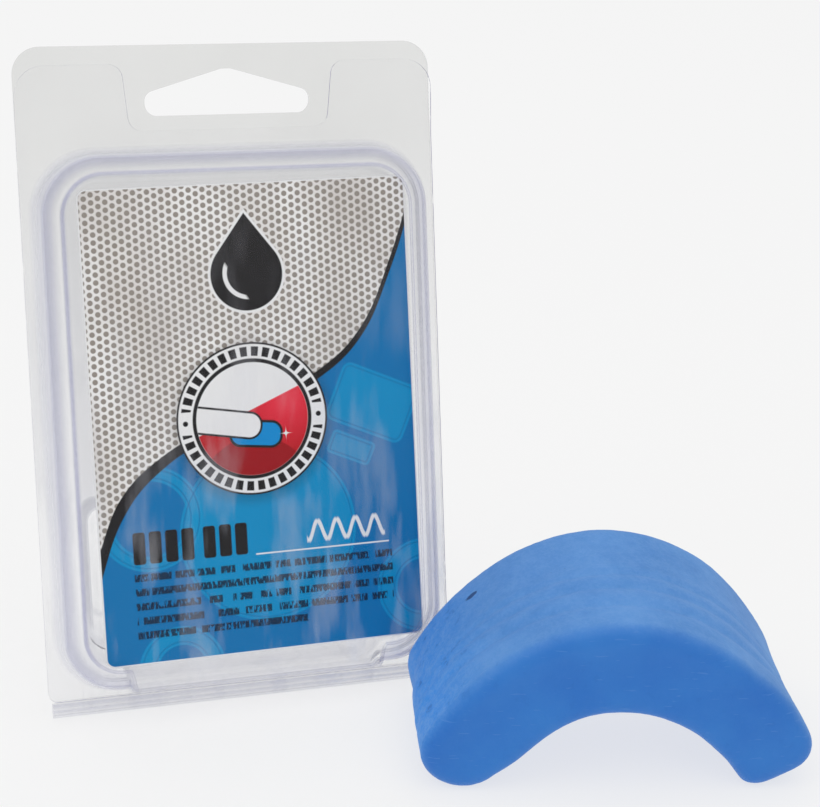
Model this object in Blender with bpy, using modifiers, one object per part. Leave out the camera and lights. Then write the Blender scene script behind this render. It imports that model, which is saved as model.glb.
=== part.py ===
"""A detailing clay bar beside the clear hinged case that it is sold in.

The case is modelled in its own frame: X across it, Z up it, and -Y out of its front. Its
back shell, bead and front shell are one moulding in life, folded along two lines. The bar
is modelled in a second frame: X along it, Y through its depth and Z up. Both frames then
stand on one floor, and the whole is centred over the origin. All lengths are in metres.
"""

import math

import bmesh
import bpy
from mathutils import Matrix, Vector

# The case
CASE_HALF = 0.044
BACK_TOP = 0.1391
FRONT_TOP = 0.1352
FLANGE_BOTTOM = 0.0034
FLANGE_BOTTOM_RADIUS = 0.002
SHEET = 0.00045
BACK_DEPTH = -0.00022
FRONT_DEPTH = 0.0006
GAPE_START = 0.119
GAPE = 0.0015

# The break in both ridges at the bottom, where the pocket's foot comes down to the edge
FOOT_HALF = 0.0262
FOOT_END = 0.0276

# The bead that joins the shells
BEAD_HALF = 0.0433
BEAD_RADIUS = 0.00125
BEAD_DEPTH = 0.0002
BEAD_SHEET = 0.0004
BEAD_TOP = 0.003
FOLD_HEIGHT = 0.0032
BEAD_MOUTH = math.radians(28)
BEAD_STEPS = 12

# The printed card
CARD_WIDTH = 0.069
CARD_HEIGHT = 0.099
CARD_THICKNESS = 0.00035
CARD_RADIUS = 0.002
CARD_CENTRE = (0.0016, 0.0609)
CARD_TURN = math.radians(0.57)
CARD_DEPTH = 0.007

# The bar, an arch on two feet
BAR_RADIUS = 0.0365
BAR_SWEEP = math.radians(60)
BAR_MIDDLE = 0.0318
BAR_TOP = 0.0358
CROWN_HALF = 0.00965
FOOT_HALF_THICKNESS = 0.0074
LEFT_FILL = 0.0036
RIGHT_FILL = 0.0016
FILL_WAVE = 0.8
LEFT_HEEL_RADIUS = 0.0075
RIGHT_HEEL_RADIUS = 0.006
BAR_DEPTH = 0.0405
BAR_DEPTH_RISE = 0.09
BAR_EDGE = 0.0024
BAR_SLICES = (0.08, 0.16, 0.26, 0.4, 0.6, 0.8)
FLARE = 0.0016
FLARE_START = 0.058
FLARE_RUN = 0.008
FLARE_DEPTH = 0.45
BACK_SPREAD = 0.03
BACK_RISE = 0.09
BAR_TURN = math.radians(-12.8)
BAR_PLACE = (0.0302, -0.0479)
BAR_STEPS = 20
TOE_STEPS = 6

CORNER_STEPS = 6

# Each ring of a shell: half width, bottom, top, bottom corner radius, top corner radius,
# depth in front of the back sheet, and the height and depth of its stretch over the foot.
FRONT_RINGS = [
    (0.0422, 0.0049, 0.1184, 0.0125, 0.0135, 0.0006, 0.0039, 0.0006),
    (0.0415, 0.0055, 0.1177, 0.0120, 0.0130, 0.0012, 0.0043, 0.0009),
    (0.0406, 0.0063, 0.1168, 0.0112, 0.0123, 0.0059, 0.0045, 0.0018),
    (0.0400, 0.0069, 0.1162, 0.0107, 0.0118, 0.0066, 0.0047, 0.0032),
    (0.0372, 0.0097, 0.1139, 0.0082, 0.0092, 0.0075, 0.0052, 0.0057),
    (0.0365, 0.0104, 0.1132, 0.0076, 0.0086, 0.0085, 0.0057, 0.0077),
    (0.0361, 0.0108, 0.1128, 0.0072, 0.0082, 0.0090, 0.0061, 0.0087),
    (0.0356, 0.0113, 0.1123, 0.0067, 0.0078, 0.0091, 0.0068, 0.0091),
]
BACK_RINGS = [
    (0.0409, 0.0062, 0.1171, 0.0116, 0.0126, -0.00022, 0.0040, -0.00022),
    (0.0402, 0.0069, 0.1164, 0.0110, 0.0120, 0.0004, 0.0043, -0.0006),
    (0.0394, 0.0077, 0.1156, 0.0102, 0.0112, 0.0046, 0.0046, -0.0012),
    (0.0388, 0.0083, 0.1150, 0.0096, 0.0106, 0.0053, 0.0048, -0.0020),
    (0.0370, 0.0101, 0.1132, 0.0078, 0.0089, 0.0055, 0.0050, -0.0028),
    (0.0362, 0.0109, 0.1124, 0.0071, 0.0082, 0.0048, 0.0051, -0.0035),
    (0.0353, 0.0118, 0.1115, 0.0063, 0.0074, -0.0024, 0.0052, -0.0042),
    (0.0347, 0.0124, 0.1109, 0.0058, 0.0069, -0.0032, 0.00525, -0.0050),
    (0.0341, 0.0129, 0.0440, 0.0036, 0.0036, -0.0032, 0.0053, -0.0058),
    (0.0335, 0.0134, 0.0434, 0.0034, 0.0034, -0.0040, 0.0054, -0.0068),
    (0.0323, 0.0145, 0.0422, 0.0030, 0.0030, -0.0244, 0.0063, -0.0246),
    (0.0314, 0.0154, 0.0413, 0.0026, 0.0026, -0.0258, 0.0072, -0.0258),
    (0.0304, 0.0164, 0.0403, 0.0020, 0.0020, -0.0262, 0.0084, -0.0262),
]

# The hook's hole and the front shell's notch, as corners: across, up and corner radius.
HOLE_CORNERS = [
    (-0.0174, 0.1246, 0.0025),
    (0.0174, 0.1246, 0.0025),
    (0.0174, 0.1292, 0.0022),
    (0.0010, 0.1340, 0.0020),
    (-0.0010, 0.1340, 0.0020),
    (-0.0174, 0.1292, 0.0022),
]
NOTCH_CORNERS = [
    (-0.0209, 0.1216, 0.0030),
    (0.0209, 0.1216, 0.0030),
    (0.0222, 0.1352, -0.0030),
    (0.0300, 0.1352, 0.0),
    (0.0300, 0.1450, 0.0),
    (-0.0300, 0.1450, 0.0),
    (-0.0300, 0.1352, 0.0),
    (-0.0222, 0.1352, -0.0030),
]


def clear_scene():
    for item in list(bpy.data.objects):
        bpy.data.objects.remove(item)


def new_collection(name):
    collection = bpy.data.collections.new(name)
    bpy.context.scene.collection.children.link(collection)
    return collection


def make_material(name, colour, roughness, transmission=0.0):
    material = bpy.data.materials.new(name)
    material.use_nodes = True
    shader = material.node_tree.nodes["Principled BSDF"]
    shader.inputs["Base Color"].default_value = (*colour, 1.0)
    shader.inputs["Roughness"].default_value = roughness
    shader.inputs["Metallic"].default_value = 0.0
    shader.inputs["Transmission Weight"].default_value = transmission
    return material


def add_object(name, mesh, collection, material=None):
    item = bpy.data.objects.new(name, mesh)
    collection.objects.link(item)
    if material:
        mesh.materials.append(material)
    return item


def arc(centre, radius, start, end, steps):
    """Points along an arc, with its angles in radians from +X."""
    points = []
    for step in range(steps + 1):
        angle = start + (end - start) * step / steps
        points.append((centre[0] + radius * math.cos(angle), centre[1] + radius * math.sin(angle)))
    return points


def rounded_outline(corners):
    """A closed outline through the corners, each rounded by its own radius."""
    outline = []
    for index, (across, up, radius) in enumerate(corners):
        corner = Vector((across, up))
        before = (Vector(corners[index - 1][:2]) - corner).normalized()
        after = (Vector(corners[(index + 1) % len(corners)][:2]) - corner).normalized()
        if radius == 0.0:
            outline.append(tuple(corner))
            continue
        half_angle = before.angle(after) / 2
        reach = abs(radius) / math.tan(half_angle)
        centre = corner + (before + after).normalized() * abs(radius) / math.sin(half_angle)
        start = corner + before * reach - centre
        end = corner + after * reach - centre
        turn = start.angle_signed(end)
        first = math.atan2(start.y, start.x)
        outline += arc(centre, abs(radius), first, first - turn, CORNER_STEPS)
    return outline


def plate(name, outline, low, high, collection, material=None):
    """A flat plate of this outline in the XZ plane, from y = low to y = high."""
    curve = bpy.data.curves.new(name, "CURVE")
    curve.dimensions = "2D"
    curve.fill_mode = "BOTH"
    curve.extrude = (high - low) / 2
    spline = curve.splines.new("POLY")
    spline.points.add(len(outline) - 1)
    for point, (across, up) in zip(spline.points, outline):
        point.co = (across, up, 0.0, 1.0)
    spline.use_cyclic_u = True
    return curve_to_mesh(name, curve, (low + high) / 2, collection, material)


def curve_to_mesh(name, curve, middle, collection, material=None):
    """Makes the flat curve a welded mesh that stands in the XZ plane at y = middle."""
    guide = bpy.data.objects.new(name + "_outline", curve)
    collection.objects.link(guide)
    bpy.context.view_layer.update()
    evaluated = guide.evaluated_get(bpy.context.evaluated_depsgraph_get())
    mesh = bpy.data.meshes.new_from_object(evaluated)
    bpy.data.objects.remove(guide)
    mesh.name = name
    stand = Matrix.Translation((0.0, middle, 0.0)) @ Matrix.Rotation(math.pi / 2, 4, "X")
    mesh.transform(stand)
    shape = bmesh.new()
    shape.from_mesh(mesh)
    bmesh.ops.remove_doubles(shape, verts=shape.verts, dist=0.000001)
    bmesh.ops.recalc_face_normals(shape, faces=shape.faces)
    shape.to_mesh(mesh)
    shape.free()
    return add_object(name, mesh, collection, material)


def shell_ring(half, bottom, top, low_radius, high_radius, depth, foot_height, foot_depth):
    """One ring of a shell, anticlockwise from its left bottom corner.

    Its depth steps to foot_depth, and its height to foot_height, along the foot.
    """
    left = half - low_radius
    upper = half - high_radius
    quarter = math.pi / 2
    low = bottom + low_radius
    high = top - high_radius
    corners = [
        arc((-left, low), low_radius, 2 * quarter, 3 * quarter, CORNER_STEPS),
        arc((left, low), low_radius, 3 * quarter, 4 * quarter, CORNER_STEPS),
        arc((upper, high), high_radius, 0.0, quarter, CORNER_STEPS),
        arc((-upper, high), high_radius, quarter, 2 * quarter, CORNER_STEPS),
    ]
    rounded = [[Vector((x, -depth, z)) for x, z in corner] for corner in corners]
    foot = [
        Vector((-FOOT_END, -depth, bottom)),
        Vector((-FOOT_HALF, -foot_depth, foot_height)),
        Vector((FOOT_HALF, -foot_depth, foot_height)),
        Vector((FOOT_END, -depth, bottom)),
    ]
    return rounded[0] + foot + rounded[1] + rounded[2] + rounded[3]


def flange_ring(top, top_radius, depth):
    """The outer edge of a shell."""
    low = FLANGE_BOTTOM
    return shell_ring(CASE_HALF, low, top, FLANGE_BOTTOM_RADIUS, top_radius, depth, low, depth)


def lean_out(shape, gape):
    """Creases the sheet at GAPE_START, and leans what is above it out by gape at its top."""
    everything = [*shape.verts, *shape.edges, *shape.faces]
    crease = (0.0, 0.0, GAPE_START)
    bmesh.ops.bisect_plane(shape, geom=everything, plane_co=crease, plane_no=(0.0, 0.0, 1.0))
    for vertex in shape.verts:
        rise = max(0.0, vertex.co.z - GAPE_START) / (FRONT_TOP - GAPE_START)
        vertex.co.y -= gape * rise


def make_shell(name, rings, gape, collection, material):
    """A thin shell lofted through its rings and closed by a flat face in the last."""
    shape = bmesh.new()
    loops = [[shape.verts.new(point) for point in ring] for ring in rings]
    for outer, inner in zip(loops, loops[1:]):
        for index, corner in enumerate(outer):
            following = (index + 1) % len(outer)
            shape.faces.new((corner, outer[following], inner[following], inner[index]))
    shape.faces.new(loops[-1])
    lean_out(shape, gape)
    bmesh.ops.recalc_face_normals(shape, faces=shape.faces)
    mesh = bpy.data.meshes.new(name)
    shape.to_mesh(mesh)
    shape.free()
    shell = add_object(name, mesh, collection, material)
    skin = shell.modifiers.new("sheet", "SOLIDIFY")
    skin.thickness = SHEET
    skin.offset = 0.0
    skin.use_even_offset = True
    return shell


def cut(item, cutter):
    removal = item.modifiers.new(cutter.name, "BOOLEAN")
    removal.operation = "DIFFERENCE"
    removal.solver = "EXACT"
    removal.object = cutter


def make_cutter(name, corners, collection):
    cutter = plate(name, rounded_outline(corners), -0.01, 0.01, collection)
    cutter.hide_render = True
    cutter.display_type = "WIRE"
    return cutter


def make_back_shell(parts, cutters):
    rings = [flange_ring(BACK_TOP, 0.0057, BACK_DEPTH)]
    rings += [shell_ring(*ring) for ring in BACK_RINGS]
    material = make_material("clear_back", (0.86, 0.88, 0.86), 0.05, 1.0)
    shell = make_shell("back_shell", rings, 0.0, parts, material)
    cut(shell, make_cutter("hook_hole", HOLE_CORNERS, cutters))
    return shell


def make_front_shell(parts, cutters):
    rings = [flange_ring(FRONT_TOP, 0.0062, FRONT_DEPTH)]
    rings += [shell_ring(*ring) for ring in FRONT_RINGS]
    material = make_material("clear_front", (0.88, 0.89, 0.90), 0.04, 1.0)
    shell = make_shell("front_shell", rings, GAPE, parts, material)
    cut(shell, make_cutter("hook_notch", NOTCH_CORNERS, cutters))
    return shell


def make_hinge_bead(parts):
    """The narrow strip between the two folds, bulged down into a round bead."""
    middle = BEAD_RADIUS - BEAD_SHEET / 2
    first = math.pi / 2 + BEAD_MOUTH
    last = 5 * math.pi / 2 - BEAD_MOUTH
    profile = [(-BACK_DEPTH, BEAD_TOP)]
    profile += [(-x, z) for x, z in arc((BEAD_DEPTH, BEAD_RADIUS), middle, first, last, BEAD_STEPS)]
    profile.append((-FRONT_DEPTH, BEAD_TOP))
    shape = bmesh.new()
    verts = [shape.verts.new((-BEAD_HALF, y, z)) for y, z in profile]
    edges = [shape.edges.new(pair) for pair in zip(verts, verts[1:])]
    swept = bmesh.ops.extrude_edge_only(shape, edges=edges)
    moved = [item for item in swept["geom"] if isinstance(item, bmesh.types.BMVert)]
    bmesh.ops.translate(shape, verts=moved, vec=(2 * BEAD_HALF, 0.0, 0.0))
    bmesh.ops.recalc_face_normals(shape, faces=shape.faces)
    mesh = bpy.data.meshes.new("hinge_bead")
    shape.to_mesh(mesh)
    shape.free()
    material = make_material("clear_hinge", (0.86, 0.87, 0.92), 0.08, 1.0)
    bead = add_object("hinge_bead", mesh, parts, material)
    skin = bead.modifiers.new("sheet", "SOLIDIFY")
    skin.thickness = BEAD_SHEET
    skin.offset = 0.0
    skin.use_even_offset = True
    return bead


def make_insert_card(parts):
    half_width = CARD_WIDTH / 2
    half_height = CARD_HEIGHT / 2
    corners = [
        (-half_width, -half_height, CARD_RADIUS),
        (half_width, -half_height, CARD_RADIUS),
        (half_width, half_height, CARD_RADIUS),
        (-half_width, half_height, CARD_RADIUS),
    ]
    material = make_material("printed_card", (0.02, 0.35, 0.72), 0.35)
    outline = rounded_outline(corners)
    card = plate("insert_card", outline, -CARD_DEPTH, CARD_THICKNESS - CARD_DEPTH, parts, material)
    turn = Matrix.Rotation(-CARD_TURN, 4, "Y")
    card.data.transform(Matrix.Translation((CARD_CENTRE[0], 0.0, CARD_CENTRE[1])) @ turn)
    return card


def bar_section(angle):
    """The middle of the bar at this angle from its crown, and its halves out and in.

    The inner half is filled out towards each foot, more so on the left.
    """
    centre = BAR_TOP - CROWN_HALF - BAR_RADIUS
    share = abs(angle) / BAR_SWEEP
    swell = (CROWN_HALF - FOOT_HALF_THICKNESS) * math.cos(math.pi / 2 * share) ** 2
    outer = FOOT_HALF_THICKNESS + swell
    fill = LEFT_FILL if angle < 0 else RIGHT_FILL
    inner = outer + fill * math.sin(FILL_WAVE * math.pi * share**2)
    middle = (BAR_MIDDLE + BAR_RADIUS * math.sin(angle), centre + BAR_RADIUS * math.cos(angle))
    return Vector(middle), outer, inner


def bar_side(reach_of, steps):
    """Points along one side of the arch from left to right."""
    points = []
    for step in range(steps + 1):
        angle = BAR_SWEEP * (2 * step / steps - 1)
        middle, outer, inner = bar_section(angle)
        away = Vector((math.sin(angle), math.cos(angle)))
        points.append(tuple(middle + away * reach_of(outer, inner)))
    return points


def bar_foot(side):
    """The rounded end of one foot, from its outer side to its inner. side is 1 or -1."""
    middle, outer, inner = bar_section(side * BAR_SWEEP)
    away = Vector((side * math.sin(BAR_SWEEP), math.cos(BAR_SWEEP)))
    onward = Vector((side * math.cos(BAR_SWEEP), -math.sin(BAR_SWEEP)))
    heel_radius = LEFT_HEEL_RADIUS if side < 0 else RIGHT_HEEL_RADIUS
    # The inner corner's radius is the one that makes it touch the floor.
    clear = middle.y - inner * away.y + heel_radius * onward.y
    toe_radius = clear / (1 - away.y + onward.y)
    heel = middle + away * (outer - heel_radius)
    toe = middle - away * (inner - toe_radius) + onward * (heel_radius - toe_radius)
    start = math.atan2(away.y, away.x)
    quarter = -side * math.pi / 2
    points = arc(heel, heel_radius, start, start + quarter, TOE_STEPS)
    # The toe's arc stops one step short, where the inner side takes over.
    return points + arc(toe, toe_radius, start + quarter, start + 2 * quarter, TOE_STEPS)[:-1]


def bar_outline():
    """The bent bar seen from its front, clockwise from its left foot."""
    outer = bar_side(lambda out, inner: out, BAR_STEPS)
    inner = bar_side(lambda out, inner: -inner, BAR_STEPS)
    return outer[:-1] + bar_foot(1) + inner[-2:0:-1] + bar_foot(-1)[::-1][:-1]


def bar_point(along, depth, up):
    """Where a point of a straight bar of depth 0 to 1 lies on the worked one.

    The bar deepens from left to right, its back is a little larger than its front, and the
    front of its right foot flares out.
    """
    reach = BAR_DEPTH + BAR_DEPTH_RISE * (along + FOOT_HALF_THICKNESS)
    spread = 1.0 + BACK_SPREAD * depth
    rise = 1.0 + BACK_RISE * depth
    to_end = min(1.0, max(0.0, (along - FLARE_START) / FLARE_RUN))
    to_front = max(0.0, 1.0 - depth / FLARE_DEPTH)
    flare = FLARE * to_end * to_front
    return Vector((along * spread + flare, depth * reach, up * rise))


def slice_depths(mesh):
    """Cuts a loop round the straight bar at each depth of BAR_SLICES."""
    shape = bmesh.new()
    shape.from_mesh(mesh)
    for share in BAR_SLICES:
        everything = [*shape.verts, *shape.edges, *shape.faces]
        level = (0.0, share * BAR_DEPTH, 0.0)
        bmesh.ops.bisect_plane(shape, geom=everything, plane_co=level, plane_no=(0.0, 1.0, 0.0))
    shape.to_mesh(mesh)
    shape.free()


def make_clay_bar(parts):
    curve = bpy.data.curves.new("clay_bar", "CURVE")
    curve.dimensions = "2D"
    curve.fill_mode = "BOTH"
    curve.extrude = BAR_DEPTH / 2 - BAR_EDGE
    curve.bevel_depth = BAR_EDGE
    curve.bevel_resolution = 2
    curve.offset = -BAR_EDGE
    spline = curve.splines.new("POLY")
    outline = bar_outline()
    spline.points.add(len(outline) - 1)
    for point, (across, up) in zip(spline.points, outline):
        point.co = (across, up, 0.0, 1.0)
    spline.use_cyclic_u = True
    material = make_material("clay", (0.09, 0.26, 0.68), 0.6)
    bar = curve_to_mesh("clay_bar", curve, BAR_DEPTH / 2, parts, material)
    slice_depths(bar.data)
    for vertex in bar.data.vertices:
        along, depth, up = vertex.co
        vertex.co = bar_point(along, depth / BAR_DEPTH, up)
    return bar


def shade(item, sharp_angle):
    item.data.shade_smooth()
    item.data.set_sharp_from_angle(angle=sharp_angle)


def lean_of_case():
    """How far the case leans back until the pocket's lower edge meets the bead's floor."""
    ring = BACK_RINGS[-3]
    down = ring[6] - SHEET / 2 - BEAD_RADIUS
    back = BEAD_DEPTH - ring[7]
    reach = math.hypot(back, down)
    return math.asin(BEAD_RADIUS / reach) + math.atan2(down, back)


def world_points(items):
    """Every point of the finished items, once their frames are placed."""
    bpy.context.view_layer.update()
    graph = bpy.context.evaluated_depsgraph_get()
    points = []
    for item in items:
        evaluated = item.evaluated_get(graph)
        points += [item.matrix_world @ vertex.co for vertex in evaluated.data.vertices]
    return points


def centre_of(points):
    """The middle of the points' box, across and front to back."""
    across = [point.x for point in points]
    along = [point.y for point in points]
    return (min(across) + max(across)) / 2, (min(along) + max(along)) / 2


def add_frame(name, place, rotation, members, collection):
    frame = bpy.data.objects.new(name, None)
    collection.objects.link(frame)
    frame.location = place
    frame.rotation_euler = rotation
    for member in members:
        member.parent = frame
    return frame


def main():
    clear_scene()
    parts = new_collection("clay_bar_and_case")
    cutters = new_collection("cutters")
    case = [
        make_back_shell(parts, cutters),
        make_front_shell(parts, cutters),
        make_hinge_bead(parts),
        make_insert_card(parts),
    ]
    bar = [make_clay_bar(parts)]
    for item in case + bar:
        shade(item, math.radians(40))
    lean = (-lean_of_case(), 0.0, 0.0)
    turn = (0.0, 0.0, BAR_TURN)
    case_frame = add_frame("case_frame", (0.0, 0.0, 0.0), lean, [*case, *cutters.objects], parts)
    bar_frame = add_frame("bar_frame", (*BAR_PLACE, 0.0), turn, bar, parts)
    across, along = centre_of(world_points(case + bar))
    for frame, members in ((case_frame, case), (bar_frame, bar)):
        lowest = min(point.z for point in world_points(members))
        frame.location -= Vector((across, along, lowest))


main()
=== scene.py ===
"""The looks of a detailing clay bar beside the clear hinged case that it is sold in.

Every piece is made in metres in the CAD model's frame. The case's own frame is X across it,
Z up it and -Y out of its front; the bar's is X along it, Y through its depth and Z up.
"""

import math

import bmesh
import bpy
from mathutils import Matrix, Vector, noise


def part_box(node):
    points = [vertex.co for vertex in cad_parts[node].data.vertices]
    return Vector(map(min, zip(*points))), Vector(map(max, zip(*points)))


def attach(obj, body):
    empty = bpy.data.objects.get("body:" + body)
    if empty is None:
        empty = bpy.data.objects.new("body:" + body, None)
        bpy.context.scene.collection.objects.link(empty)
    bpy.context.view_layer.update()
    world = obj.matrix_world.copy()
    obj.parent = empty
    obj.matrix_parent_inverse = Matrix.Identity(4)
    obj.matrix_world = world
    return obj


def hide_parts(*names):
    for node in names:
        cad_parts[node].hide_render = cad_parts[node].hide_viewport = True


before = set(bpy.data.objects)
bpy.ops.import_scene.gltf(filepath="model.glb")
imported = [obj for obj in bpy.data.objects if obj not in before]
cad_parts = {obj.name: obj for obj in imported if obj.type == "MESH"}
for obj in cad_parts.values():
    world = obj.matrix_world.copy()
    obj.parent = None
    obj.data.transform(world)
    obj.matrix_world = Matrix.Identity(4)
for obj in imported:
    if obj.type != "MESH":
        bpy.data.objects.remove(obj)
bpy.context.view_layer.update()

# Where the two frames stand
LEAN = math.radians(13.8456)
BAR_TURN = math.radians(-12.8)
BEAD_CENTRE_BEHIND = 0.0001
BAR_IN_BOX = Vector((0.00652, 0.01547, 0.0))

# The case
CASE_HALF = 0.044
BACK_TOP = 0.1391
FRONT_TOP = 0.1352
FLANGE_BOTTOM = 0.0034
FLANGE_BOTTOM_RADIUS = 0.002
SHEET = 0.00045
BACK_DEPTH = -0.00022
FRONT_DEPTH = 0.0006
GAPE_START = 0.119
GAPE = 0.0015
FOOT_HALF = 0.0262
FOOT_END = 0.0276
CORNER_STEPS = 16
FOOT_STEPS = 5
RING_STEPS = 4

# The bead that joins the shells
BEAD_HALF = 0.0433
BEAD_RADIUS = 0.00125
BEAD_DEPTH = 0.0002
BEAD_SHEET = 0.0004
BEAD_TOP = 0.003
BEAD_MOUTH = math.radians(28)

# The card
CARD_WIDTH = 0.069
CARD_HEIGHT = 0.099
CARD_THICKNESS = 0.00035
CARD_RADIUS = 0.002
CARD_CENTRE = (0.0016, 0.0609)
CARD_TURN = math.radians(0.57)
CARD_DEPTH = 0.007

# The bar
BAR_RADIUS = 0.0365
BAR_SWEEP = math.radians(60)
BAR_MIDDLE = 0.0318
BAR_TOP = 0.0358
CROWN_HALF = 0.00965
FOOT_HALF_THICKNESS = 0.0074
LEFT_FILL = 0.0036
RIGHT_FILL = 0.0016
FILL_WAVE = 0.8
LEFT_HEEL_RADIUS = 0.0075
RIGHT_HEEL_RADIUS = 0.006
BAR_DEPTH = 0.0405
BAR_DEPTH_RISE = 0.09
BAR_EDGE = 0.003
FLARE = 0.0016
FLARE_START = 0.058
FLARE_RUN = 0.008
FLARE_DEPTH = 0.45
BACK_SPREAD = 0.03
BACK_RISE = 0.09
BAR_STEPS = 72
TOE_STEPS = 12
CLAY_VOXEL = 0.0006

# Each ring of a shell: half width, bottom, top, bottom corner radius, top corner radius,
# depth in front of the back sheet, the height and depth of its stretch over the foot, and
# how strongly the sheet shows there as a lilac line of painted shade at its bends and as a
# white line of painted highlight.
FRONT_RINGS = [
    (0.0422, 0.0049, 0.1184, 0.0125, 0.0135, 0.0006, 0.0039, 0.0006, 0.10, 0.1),
    (0.0415, 0.0055, 0.1177, 0.0120, 0.0130, 0.0012, 0.0043, 0.0009, 0.30, 0.5),
    (0.0406, 0.0063, 0.1168, 0.0112, 0.0123, 0.0059, 0.0045, 0.0018, 0.55, 0.7),
    (0.0400, 0.0069, 0.1162, 0.0107, 0.0118, 0.0066, 0.0047, 0.0032, 0.70, 0.2),
    (0.0372, 0.0097, 0.1139, 0.0082, 0.0092, 0.0075, 0.0052, 0.0057, 0.00, 0.1),
    (0.0365, 0.0104, 0.1132, 0.0076, 0.0086, 0.0085, 0.0057, 0.0077, 1.00, 0.0),
    (0.0361, 0.0108, 0.1128, 0.0072, 0.0082, 0.0090, 0.0061, 0.0087, 0.30, 0.0),
    (0.0356, 0.0113, 0.1123, 0.0067, 0.0078, 0.0091, 0.0068, 0.0091, 0.00, 0.0),
]
BACK_RINGS = [
    (0.0409, 0.0062, 0.1171, 0.0116, 0.0126, -0.00022, 0.0040, -0.00022, 0.1, 0.0),
    (0.0402, 0.0069, 0.1164, 0.0110, 0.0120, 0.0004, 0.0043, -0.0006, 0.3, 0.0),
    (0.0394, 0.0077, 0.1156, 0.0102, 0.0112, 0.0046, 0.0046, -0.0012, 0.2, 0.2),
    (0.0388, 0.0083, 0.1150, 0.0096, 0.0106, 0.0053, 0.0048, -0.0020, 0.3, 0.1),
    (0.0370, 0.0101, 0.1132, 0.0078, 0.0089, 0.0055, 0.0050, -0.0028, 0.0, 0.1),
    (0.0362, 0.0109, 0.1124, 0.0071, 0.0082, 0.0048, 0.0051, -0.0035, 0.3, 0.0),
    (0.0353, 0.0118, 0.1115, 0.0063, 0.0074, -0.0024, 0.0052, -0.0042, 0.1, 0.2),
    (0.0347, 0.0124, 0.1109, 0.0058, 0.0069, -0.0032, 0.00525, -0.0050, 0.2, 0.0),
    (0.0341, 0.0129, 0.0440, 0.0036, 0.0036, -0.0032, 0.0053, -0.0058, 0.3, 0.0),
    (0.0335, 0.0134, 0.0434, 0.0034, 0.0034, -0.0040, 0.0054, -0.0068, 0.3, 0.1),
    (0.0323, 0.0145, 0.0422, 0.0030, 0.0030, -0.0244, 0.0063, -0.0246, 0.0, 0.2),
    (0.0314, 0.0154, 0.0413, 0.0026, 0.0026, -0.0258, 0.0072, -0.0258, 0.3, 0.0),
    (0.0304, 0.0164, 0.0403, 0.0020, 0.0020, -0.0262, 0.0084, -0.0262, 0.0, 0.0),
]
HOLE_CORNERS = [
    (-0.0174, 0.1246, 0.0025),
    (0.0174, 0.1246, 0.0025),
    (0.0174, 0.1292, 0.0022),
    (0.0010, 0.1340, 0.0020),
    (-0.0010, 0.1340, 0.0020),
    (-0.0174, 0.1292, 0.0022),
]
NOTCH_CORNERS = [
    (-0.0209, 0.1216, 0.0030),
    (0.0209, 0.1216, 0.0030),
    (0.0222, 0.1352, -0.0030),
    (0.0300, 0.1352, 0.0),
    (0.0300, 0.1450, 0.0),
    (-0.0300, 0.1450, 0.0),
    (-0.0300, 0.1352, 0.0),
    (-0.0222, 0.1352, -0.0030),
]

# The camera, from the case's origin
CAMERA_PLACE = Vector((-0.0838, -0.3654, 0.2070))
CAMERA_AZIMUTH = math.radians(17.69)
CAMERA_PITCH = math.radians(20.316)
CAMERA_ROLL = math.radians(2.195)
CAMERA_LENS = 85.6

# The stage: a pale floor that glows, so that shadows on it stay faint
FLOOR_HALF = 3.0
FLOOR_GREY = 0.24
FLOOR_GLOW = 0.695
WORLD_STRENGTH = 0.55


def case_to_world():
    """The case's frame: its middle is the back shell's, and its bead stands on the floor."""
    shell_low, shell_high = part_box("back_shell")
    bead_low, bead_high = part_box("hinge_bead")
    across = (shell_low.x + shell_high.x) / 2
    along = (bead_low.y + bead_high.y) / 2 - BEAD_CENTRE_BEHIND
    return Matrix.Translation((across, along, 0.0)) @ Matrix.Rotation(-LEAN, 4, "X")


def bar_to_world():
    low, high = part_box("clay_bar")
    place = Vector((low.x, low.y, 0.0)) + BAR_IN_BOX
    return Matrix.Translation(place) @ Matrix.Rotation(BAR_TURN, 4, "Z")


CASE = case_to_world()
BAR = bar_to_world()


# Materials


class Field:
    """A number that varies over a surface. Arithmetic on it adds Math nodes to its tree."""

    def __init__(self, tree, socket):
        self.tree = tree
        self.socket = socket

    def math(self, operation, *others, clamp=False):
        node = self.tree.nodes.new("ShaderNodeMath")
        node.operation = operation
        node.use_clamp = clamp
        self.tree.links.new(self.socket, node.inputs[0])
        for index, other in enumerate(others, 1):
            if isinstance(other, Field):
                self.tree.links.new(other.socket, node.inputs[index])
            else:
                node.inputs[index].default_value = other
        return Field(self.tree, node.outputs[0])

    def __add__(self, other):
        return self.math("ADD", other)

    def __sub__(self, other):
        return self.math("SUBTRACT", other)

    def __mul__(self, other):
        return self.math("MULTIPLY", other)

    def most(self, other):
        return self.math("MAXIMUM", other)

    def least(self, other):
        return self.math("MINIMUM", other)

    def size(self):
        return self.math("ABSOLUTE")

    def wrapped(self, half):
        """Repeats the field between -half and half."""
        return self.math("WRAP", half, -half)

    def under(self, level, blur):
        """1 where the field is under the level and 0 over it, softened over blur."""
        return (self - level).math("MULTIPLY_ADD", -1.0 / blur, 0.5, clamp=True)

    def over(self, level, blur):
        return self.under(level, blur).flipped()

    def flipped(self):
        return self.math("MULTIPLY_ADD", -1.0, 1.0)


def distance(u, v, centre):
    across = u - centre[0]
    up = v - centre[1]
    return (across * across + up * up).math("SQRT")


def box_distance(u, v, centre, half, radius):
    """How far a point is outside a box with round corners, negative inside it."""
    across = (u - centre[0]).size() - (half[0] - radius)
    up = (v - centre[1]).size() - (half[1] - radius)
    outside = distance(across.most(0.0), up.most(0.0), (0.0, 0.0))
    return outside + across.most(up).least(0.0) - radius


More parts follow.
